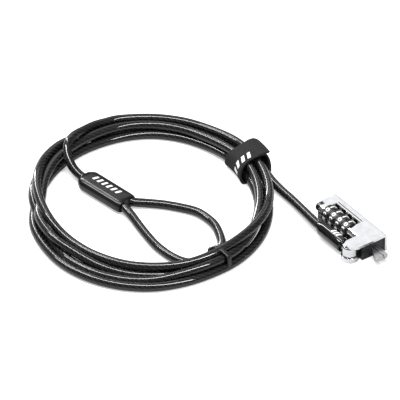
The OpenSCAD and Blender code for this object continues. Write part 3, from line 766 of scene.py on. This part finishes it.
# %% Strap
STRAP_AT, STRAP_SKEW = 31.5, 0.16
STRAP_WIDTH = 0.018
STRAP_SECTION = [
    (0.5, 0.65, 10.0), (-3.5, 0.65, 10.0), (-6.0, 1.0, 9.8),
    (-7.1, 2.6, 9.6), (-7.3, 4.8, 9.2), (-6.9, 7.0, 8.6),
    (-5.7, 8.9, 7.8), (-3.4, 10.2, 7.0), (-0.6, 10.9, 6.6),
    (2.4, 11.2, 6.4), (5.2, 11.0, 6.2), (7.6, 10.2, 6.2),
    (8.8, 8.6, 6.8), (9.1, 6.4, 8.2), (8.9, 4.0, 9.2), (8.3, 1.9, 9.8), (6.8, 0.8, 10.0), (4, 0.65, 10.0),
]


def strap_angle(out):
    """The band lies a little askew: its angle round the coil at a distance outside the oval."""
    return STRAP_AT + STRAP_SKEW * (out - 2)


def strap_skin(name, section, across=14):
    """The band's middle surface, with a UV map in metres round it and across it."""
    bm = bmesh.new()
    uv = bm.loops.layers.uv.new("along")
    grid = []
    for out, z, half in section:
        row = []
        for j in range(across + 1):
            t = 2 * j / across - 1
            dip = 0.25 * t * t
            row.append(bm.verts.new(round_coil(strap_angle(out) + half * t, out, max(z - dip, 0.62))))
        grid.append(row)
    n, far = len(grid), 0.0
    for i in range(n):
        nxt = grid[(i + 1) % n]
        hop = (nxt[across // 2].co - grid[i][across // 2].co).length
        for j in range(across):
            face = bm.faces.new((grid[i][j], grid[i][j + 1], nxt[j + 1], nxt[j]))
            face.smooth = True
            marks = ((j, far), (j + 1, far), (j + 1, far + hop), (j, far + hop))
            for corner, (step_across, round_it) in zip(face.loops, marks):
                corner[uv].uv = ((step_across / across - 0.5) * STRAP_WIDTH, round_it)
        far += hop
    bmesh.ops.recalc_face_normals(bm, faces=bm.faces)
    mesh = bpy.data.meshes.new(name)
    bm.to_mesh(mesh)
    bm.free()
    return link(name, mesh), far


strap_line = smooth_ring([Vector(p) for p in STRAP_SECTION], 4)
strap, strap_round = strap_skin("strap_band", strap_line)
thick = strap.modifiers.new("thick", "SOLIDIFY")
thick.thickness, thick.offset = 1.1 * MM, 0
edge = strap.modifiers.new("edge", "BEVEL")
edge.width, edge.segments, edge.limit_method = 0.3 * MM, 2, "ANGLE"
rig.ride(strap, "cable")
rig.replaces(strap, "strap")
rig.slot(strap, "strap")
print("strap goes", round(strap_round, 4), "m round the bundle")

# %% [markdown]
# ## The strap's loose end
#
# The end of the tape lies on the band over the outer side of the bundle. It is a short tongue with
# a rounded tip, standing a little away from the turns where it is pulled to open the strap.

# %% Tongue
TONGUE = [
    (2.6, 11.0, 6.3), (4.4, 11.35, 6.2), (6.4, 11.3, 6.1),
    (8.4, 10.8, 5.9), (10.0, 9.9, 5.5), (11.0, 9.0, 4.6)
]
TONGUE_WIDTH, TONGUE_STEP = 0.011, 0.0027
ACROSS = 10
bm = bmesh.new()
uv_layer = bm.loops.layers.uv.new("along")
rows = []
for out, z, half in TONGUE:
    angles = [strap_angle(out) + half * (2 * j / ACROSS - 1) for j in range(ACROSS + 1)]
    rows.append([bm.verts.new(round_coil(angle, out, z)) for angle in angles])
for i in range(len(rows) - 1):
    for j in range(ACROSS):
        face = bm.faces.new((rows[i][j], rows[i][j + 1], rows[i + 1][j + 1], rows[i + 1][j]))
        face.smooth = True
        for corner, (a, b) in zip(face.loops, ((j, i), (j + 1, i), (j + 1, i + 1), (j, i + 1))):
            corner[uv_layer].uv = ((a / ACROSS - 0.5) * TONGUE_WIDTH, b * TONGUE_STEP)
mesh = bpy.data.meshes.new("strap_end")
bm.to_mesh(mesh)
bm.free()
tongue = link("strap_end", mesh)
layer = tongue.modifiers.new("thick", "SOLIDIFY")
layer.thickness, layer.offset = 0.9 * MM, 0
edge = tongue.modifiers.new("edge", "BEVEL")
edge.width, edge.segments, edge.limit_method = 0.25 * MM, 2, "ANGLE"
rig.ride(tongue, "cable")
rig.slot(tongue, "strap")
print("tongue faces:", len(tongue.data.polygons))

# %% [markdown]
# ## Woven tape
#
# Hook-and-loop tape is dull, with a fine weave under the fuzz. Two sine waves across and along the
# band's own UV map cross into a weave, and noise breaks it up.

# %% Woven tape
tape = Finish("woven_tape", Base_Color=(0.02, 0.02, 0.02), Roughness=0.85, Specular_IOR_Level=0.25)
across_it, along_it = tape.along()
warp = (across_it * (2 * math.pi / 0.0009)).sine() * 0.5 + 0.5
weft = (along_it * (2 * math.pi / 0.0007)).sine() * 0.5 + 0.5
weave = warp * weft + (1 - warp) * (1 - weft)
fuzz = tape.noise(900.0)
tape.tones(weave * 0.6 + fuzz * 0.5, (0.002, 0.002, 0.0022), (0.022, 0.022, 0.022))
tape.feed("Roughness", 0.9 - weave * 0.2)
tape.bump(weave * 0.7 + fuzz * 0.3, 0.00015, 0.8)
for piece in (strap, tongue):
    piece.data.materials.append(tape.material)
print("tape on", strap.name)

# %% [markdown]
# ## The print on the strap
#
# The same bars go over the inner shoulder of the strap. They are bent along the band's section, so
# they follow the tape from its side up to its top.

# %% Strap print
section_mm = [Vector((p[0], p[1])) for p in strap_line]
reach = [0.0]
for a, b in zip(section_mm, section_mm[1:]):
    reach.append(reach[-1] + (b - a).length)


def on_section(far, lift):
    """The place so far round the strap's section, lifted off it."""
    i = max(j for j, r in enumerate(reach[:-1]) if r <= far)
    t = (far - reach[i]) / (reach[i + 1] - reach[i])
    run = (section_mm[i + 1] - section_mm[i]).normalized()
    return section_mm[i].lerp(section_mm[i + 1], t) + Vector((-run.y, run.x)) * lift


def on_strap(x, y, z):
    """A point round the band and above it, with y in degrees along the coil."""
    out, up = on_section(x, 0.58 + z)
    return round_coil(strap_angle(out) - 3.4 + y, out, up)


values = {"Count": 4, "Spacing": 3.3, "Width": 1.7, "Height": 3.8, "Thickness": 0.1}
strap_mark = laid(
    "strap_mark", grown("strap_mark", bar_tree, values),
    lambda x, y, z: on_strap(11.0 + x + y * 0.3, y, z),
)
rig.ride(strap_mark, "cable")
print("strap print from", [round(v, 4) for v in strap_mark.data.vertices[0].co])

# %% [markdown]
# ## The wire tie
#
# A plastic-coated wire goes once round the bundle and the loop, and its two ends are twisted
# together on the inner side. The ring is a tube bent round the section, and the twist is two thin
# tubes wound round one line, which is how the real one is made.

# %% Wire tie
TIE_AT = 309.0
TIE_HALF_WIDE, TIE_HALF_THICK, TIE_POWER = 1.173, 0.42, 2.6
TIE_SIDES = 10
TIE_SECTION = [
    (4.4, 0.9), (5.1, 2.4), (5.1, 6.8), (4.2, 9.0), (1.6, 9.8),
    (-2.0, 9.9), (-5.4, 9.0), (-8.0, 6.6), (-9.3, 4.4),
    (-9.3, 2.2), (-8.2, 0.8), (-3.0, 0.65), (2.0, 0.65),
]
rim = smooth_ring([Vector((a, b, 0)) for a, b in TIE_SECTION], 5)
tie_rings = []
for p, q in zip(rim, rim[1:] + rim[:1]):
    run = (q - p).normalized()
    off = Vector((-run.y, run.x, 0))
    ring = []
    for k in range(TIE_SIDES):
        w, h = superellipse(2 * math.pi * k / TIE_SIDES, TIE_HALF_WIDE, TIE_HALF_THICK, TIE_POWER)
        ring.append(round_coil(TIE_AT + w, p.x + off.x * h, p.y + off.y * h))
    tie_rings.append(ring)
bm = bmesh.new()
rows = [[bm.verts.new(p) for p in ring] for ring in tie_rings]
for i in range(len(rows)):
    nxt = rows[(i + 1) % len(rows)]
    for k in range(TIE_SIDES):
        n = (k + 1) % TIE_SIDES
        bm.faces.new((rows[i][k], rows[i][n], nxt[n], nxt[k])).smooth = True
bmesh.ops.recalc_face_normals(bm, faces=bm.faces)
mesh = bpy.data.meshes.new("tie_ring")
bm.to_mesh(mesh)
bm.free()
tie = link("tie_ring", mesh)
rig.ride(tie, "cable")
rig.replaces(tie, "wire_tie")
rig.slot(tie, "tie")
print("tie faces:", len(tie.data.polygons))

# %% [markdown]
# ## The tie's twisted ends
#
# Two tubes wind round one straight line, half a turn apart. The same tube function makes them.

# %% The tie's twisted ends
TWIST_TURNS, TWIST_STEPS, TWIST_RADIUS = 2.5, 36, 0.62 * MM
twist_ends = [on_lay(31.8, -38.4, 6.4), on_lay(26.6, -39.6, 5.6)]
twist_way = (twist_ends[1] - twist_ends[0]).normalized()
twist_side = twist_way.cross(Vector((0, 0, 1))).normalized()
twist_up = twist_side.cross(twist_way)
twists = []
for half in (0, 1):
    line_points = []
    for k in range(TWIST_STEPS + 1):
        t = k / TWIST_STEPS
        turn = 2 * math.pi * TWIST_TURNS * t + math.pi * half
        aside = (twist_side * math.cos(turn) + twist_up * math.sin(turn)) * TWIST_RADIUS
        line_points.append(twist_ends[0].lerp(twist_ends[1], t) + aside)
    twist = tube(f"tie_twist_{half + 1}", line_points, 1.15 * MM, 10)
    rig.ride(twist, "cable")
    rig.slot(twist, "tie")
    twists.append(twist)
pvc = Finish("tie_coat", Base_Color=(0.008, 0.008, 0.008), Roughness=0.3)
pvc.tones(pvc.noise(500.0), (0.005, 0.005, 0.005), (0.014, 0.014, 0.014))
pvc.feed("Roughness", pvc.noise(700.0) * 0.15 + 0.25)
for piece in (tie, *twists):
    piece.data.materials.append(pvc.material)
print("twist is", round((twist_ends[1] - twist_ends[0]).length / MM, 1), "mm long")

# %% [markdown]
# ## Softened metal
#
# Cast and machined parts never have knife edges: a bevel of a tenth of a millimetre is what draws
# the thin bright line along each edge. The solid model has sharp edges, so each visible part of the
# head gets a merged copy with a Bevel modifier, and the copy stands for the solid.

# %% Rounded copies


SAME_POINT = 2e-6
SHARP = math.radians(28)


def merged(node):
    """A solid's mesh as a bmesh, with its loose triangles joined."""
    bm = bmesh.new()
    bm.from_mesh(frame["nodes"][node].data)
    bmesh.ops.remove_doubles(bm, verts=bm.verts, dist=SAME_POINT)
    return bm


def softened(node, body, width, slot):
    """A copy of a solid with its sharp edges rounded."""
    bm = merged(node)
    bmesh.ops.dissolve_limit(bm, angle_limit=math.radians(0.6), verts=bm.verts, edges=bm.edges)
    bmesh.ops.recalc_face_normals(bm, faces=bm.faces)
    for face in bm.faces:
        face.smooth = True
    for e in bm.edges:
        if len(e.link_faces) != 2 or e.calc_face_angle(0) > SHARP:
            e.smooth = False
    mesh = bpy.data.meshes.new(node + "_skin")
    bm.to_mesh(mesh)
    bm.free()
    made = link(node + "_skin", mesh)
    bevel = made.modifiers.new("edge", "BEVEL")
    bevel.width, bevel.segments, bevel.limit_method = width * MM, 2, "ANGLE"
    bevel.angle_limit = SHARP
    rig.ride(made, body)
    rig.replaces(made, node)
    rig.slot(made, slot)
    return made


skins = {
    "housing": softened("housing", "lock_body", 0.18, "chrome"),
    "lower_lug": softened("lower_lug", "lock_body", 0.12, "chrome"),
    "knuckle": softened("knuckle", "swivel", 0.08, "chrome"),
    "barrel": softened("barrel", "cable", 0.12, "black_gloss"),
    "button": softened("button", "slider", 0.1, "button"),
    "moving_jaw": softened("moving_jaw", "jaw", 0.1, "steel"),
    "fixed_jaw": softened("fixed_jaw", "lock_body", 0.1, "steel"),
}
print("softened:", ", ".join(skins))

# %% [markdown]
# ## The spring behind the button
#
# A pushed button has to squeeze its spring, and a solid can't change its length. So the spring gets
# a merged copy, and the copy is pressed towards its front end as the button goes in. How short it
# gets follows from its length and the button's travel.

# %% A spring that shortens
PUSH_TRAVEL = 1.8 * MM
spring_low, spring_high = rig.box("return_spring")
bm = merged("return_spring")
bmesh.ops.recalc_face_normals(bm, faces=bm.faces)
for face in bm.faces:
    face.smooth = True
mesh = bpy.data.meshes.new("spring_wire")
bm.to_mesh(mesh)
bm.free()
spring = link("spring_wire", mesh)
spring_room = spring_high.x - spring_low.x
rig.ride(spring, "lock_body")
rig.replaces(spring, "return_spring")
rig.slot(spring, "steel")
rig.squash(
    spring, "button_push", axis=(1, 0, 0), anchor=tuple(spring_high), keep=1 - PUSH_TRAVEL / spring_room
)
skins["return_spring"] = spring
print("spring:", round(spring_room / MM, 2), "mm at rest")

# %% [markdown]
# ## Metals and plastics of the head
#
# Chrome shows almost nothing but its surroundings, so it needs only a very smooth metal with faint
# polishing marks. The jaws are brushed along their length, the barrel is gloss black, and the wheels
# are semi-gloss. Inner pieces that only show when the lock is taken apart get honest finishes too.

# %% Finishes of the head


def plain(name, colour, rough, metal=0.0, grain=700.0, spread=0.08, depth=0.00001, stretch=None, **more):
    """A surface whose tone and roughness vary a little with noise on object coordinates."""
    made = Finish(name, Base_Color=colour, Metallic=metal, Roughness=rough, **more)
    where = made.place()
    if stretch:
        where = made.node("ShaderNodeMapping", inputs={"Vector": where, "Scale": stretch})
    speck = made.noise(grain, 3.0, where)
    made.tones(speck, tuple(c * 0.8 for c in colour), tuple(min(1, c * 1.15) for c in colour))
    made.feed("Roughness", speck * spread + (rough - spread / 2))
    made.bump(speck, depth, 0.4)
    return made.material


finishes = {
    "chrome": plain("bright_chrome", (0.80, 0.81, 0.83), 0.1, 1.0, 300.0, 0.05, 0.000004),
    "steel": plain("brushed_jaw", (0.55, 0.55, 0.56), 0.3, 1.0, 900.0, 0.14, 0.00001, (0.12, 1, 1)),
    "gloss": plain("gloss_black", (0.003, 0.003, 0.0033), 0.2, 0.0, 200.0, 0.05, 0.000004,
                   Coat_Weight=1.0, Coat_Roughness=0.04, Specular_IOR_Level=0.1),
    "gunmetal": plain("dark_gunmetal", (0.09, 0.09, 0.095), 0.28, 1.0, 800.0, 0.12, 0.00001),
    "wheel": plain("wheel_black", (0.008, 0.008, 0.009), 0.3, 0.0, 1200.0, 0.12, 0.00001),
    "body": plain("satin_body", (0.01, 0.01, 0.011), 0.4, 0.0, 1500.0, 0.15, 0.00002),
    "brass": plain("turned_brass", (0.6, 0.45, 0.2), 0.3, 1.0, 1500.0, 0.1, 0.00001),
    "screw": plain("blackened_steel", (0.05, 0.05, 0.055), 0.38, 1.0, 1200.0, 0.15, 0.00001),
    "press": plain("pressed_aluminium", (0.62, 0.62, 0.63), 0.4, 1.0, 1300.0, 0.12, 0.00001),
}
USES = {
    "chrome": ["housing", "lower_lug", "knuckle"],
    "steel": [
        "moving_jaw", "fixed_jaw", "spindle", "cam", "return_spring", "detent_spring", "pivot_pin",
        "swivel_clip", "cable_crimp",
    ],
    "gloss": ["barrel"],
    "gunmetal": ["button"],
    "wheel": ["dial_1", "dial_2", "dial_3", "dial_4"],
    "body": ["carrier", "index_strip"],
    "brass": ["hub_1", "hub_2", "hub_3", "hub_4"],
    "screw": ["base_screws", "reset_screw"],
    "press": ["eye_ferrule"],
}
for finish, nodes in USES.items():
    for node in nodes:
        shown = skins.get(node, frame["nodes"][node])
        shown.data.materials.clear()
        shown.data.materials.append(finishes[finish])
UNDERNEATH = {
    "cable_tail": coat, "cable_coil": coat, "cable_lead": coat, "cable_eye": coat,
    "eye_sleeve": moulded, "strap": tape, "wire_tie": pvc,
}
for node, finish in UNDERNEATH.items():
    frame["nodes"][node].data.materials.clear()
    frame["nodes"][node].data.materials.append(finish.material)
print("finishes:", len(finishes))

# %% [markdown]
# ## Digits on the wheels
#
# Each wheel carries the ten digits round its rim, printed white. A digit is a Text object made into
# a mesh, cut into strips so that it can bend, and wrapped on the rim. The ten digits of one wheel are
# joined into one mesh that turns with its wheel.

# %% Wrap digits on a wheel
WHEEL_Y, WHEEL_Z, WHEEL_R = 1.5, 6.1, 4.4
DIGIT_TALL, DIGIT_STRETCH, DIGIT_STRIP = 2.15, 1.3, 0.2
FIRST_DIGIT, DIGIT_STEP = -24, 36


def digit_mesh(digit):
    """A digit as a thin mesh in millimetres, centred on the origin, cut into strips."""
    text = bpy.data.curves.new("digit", "FONT")
    text.body, text.size = str(digit), 3.1
    text.align_x, text.align_y = "CENTER", "CENTER"
    text.extrude, text.offset = 0.05, 0.11
    holder = link("digit", text)
    shown = holder.evaluated_get(bpy.context.evaluated_depsgraph_get())
    mesh = bpy.data.meshes.new_from_object(shown)
    bpy.data.objects.remove(holder)
    bm = bmesh.new()
    bm.from_mesh(mesh)
    bmesh.ops.remove_doubles(bm, verts=bm.verts, dist=1e-4)
    low = min(v.co.y for v in bm.verts)
    high = max(v.co.y for v in bm.verts)
    for v in bm.verts:
        v.co.y = (v.co.y - (low + high) / 2) * DIGIT_TALL / (high - low)
        v.co.x *= DIGIT_STRETCH
    for k in range(-5, 6):
        everything = bm.verts[:] + bm.edges[:] + bm.faces[:]
        bmesh.ops.bisect_plane(bm, geom=everything, plane_co=(0, k * DIGIT_STRIP, 0), plane_no=(0, 1, 0))
    return bm


def wheel_digits(number):
    """The ten digits of one wheel, as one mesh."""
    low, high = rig.box(f"dial_{number}")
    middle = (low.x + high.x) / 2 / MM
    whole = bmesh.new()
    for digit in range(10):
        bm = digit_mesh(digit)
        for v in bm.verts:
            turn = math.radians(FIRST_DIGIT + DIGIT_STEP * digit) + v.co.y / WHEEL_R
            r = WHEEL_R + v.co.z + 0.02
            rim_y, rim_z = WHEEL_Y + r * math.sin(turn), WHEEL_Z + r * math.cos(turn)
            v.co = Vector((middle + v.co.x, rim_y, rim_z)) * MM
        part = bpy.data.meshes.new("part")
        bm.to_mesh(part)
        bm.free()
        whole.from_mesh(part)
    bmesh.ops.recalc_face_normals(whole, faces=whole.faces)
    mesh = bpy.data.meshes.new(f"digits_{number}")
    whole.to_mesh(mesh)
    whole.free()
    mesh.materials.append(white.material)
    made = link(f"digits_{number}", mesh)
    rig.ride(made, f"wheel_{number}")
    return made


for number in (1, 2, 3, 4):
    made = wheel_digits(number)
print("digit faces on a wheel:", len(made.data.polygons))

# %% [markdown]
# ## Table and light
#
# The table is plain white, but a white table mirrored in a glossy black coat would turn it grey, so
# the table is darker to every ray except the camera's own. A round rope shows a thin line of light
# only where a light lies square to it. So one strip overhead runs from left to right, for the turns
# that do, and a second stands at the back left, for the turns at the sides. A pale card behind
# the coil is there for the chrome to mirror.

# %% Table
bpy.ops.mesh.primitive_plane_add(size=20, location=(0, 0, 0))
table = bpy.context.object
table.name = "table"
paper = Finish("white_paper", Base_Color=(0.9, 0.9, 0.9), Roughness=0.9, Specular_IOR_Level=0.1)
seen = paper.node("ShaderNodeLightPath", output=0)
paper.tones(seen, (0.5, 0.5, 0.5), (0.7, 0.7, 0.7))
paper.shader.inputs["Emission Strength"].default_value = 0.5
paper.feed("Emission Color", seen)
table.data.materials.append(paper.material)
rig.stage(table)
print("table ready")

# %% [markdown]
# ## Lights
#
# Rectangular lights give soft shadows and clean reflections. They are placed in the coil's frame,
# so that their places read as the camera sees them.

# %% Lights


def area_light(name, right, away, up, size, power):
    """A light, so wide and so deep, at a place in the coil's frame, aimed at the coil."""
    data = bpy.data.lights.new(name, "AREA")
    data.shape, data.size, data.size_y, data.energy = "RECTANGLE", size[0], size[1], power
    lamp = bpy.data.objects.new(name, data)
    bpy.context.scene.collection.objects.link(lamp)
    lamp.location = on_lay(right, away, up)
    aim = on_lay(15, 0, 0) - lamp.location
    lamp.rotation_mode = "QUATERNION"
    lamp.rotation_quaternion = aim.to_track_quat("-Z", "Y")
    return lamp


area_light("overhead", -60, -120, 1000, (2.1, 0.1), 25)
area_light("spine", -560, 1000, 720, (0.1, 1.5), 13)
area_light("back_card", 60, 1150, 900, (0.9, 0.5), 1.3)
world = bpy.data.worlds.new("soft_room")
world.use_nodes = True
world.node_tree.nodes["Background"].inputs["Color"].default_value = (1, 1, 1, 1)
world.node_tree.nodes["Background"].inputs["Strength"].default_value = 0.2
bpy.context.scene.world = world
print("lights:", [o.name for o in bpy.context.scene.objects if o.type == "LIGHT"])

# %% [markdown]
# ## Finish
#
# The last step measures the size of the looks and writes it, with the size of the solids, to
# extents.json, since the looks have to stay inside them.

# %% Sizes
seen_low, seen_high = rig.bounds()
with open("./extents.json", "w") as sizes:
    json.dump({"cad": [list(cad_low), list(cad_high)], "visual": [list(seen_low), list(seen_high)]}, sizes)
print("looks, mm:", [round((b - a) / MM, 1) for a, b in zip(seen_low, seen_high)])
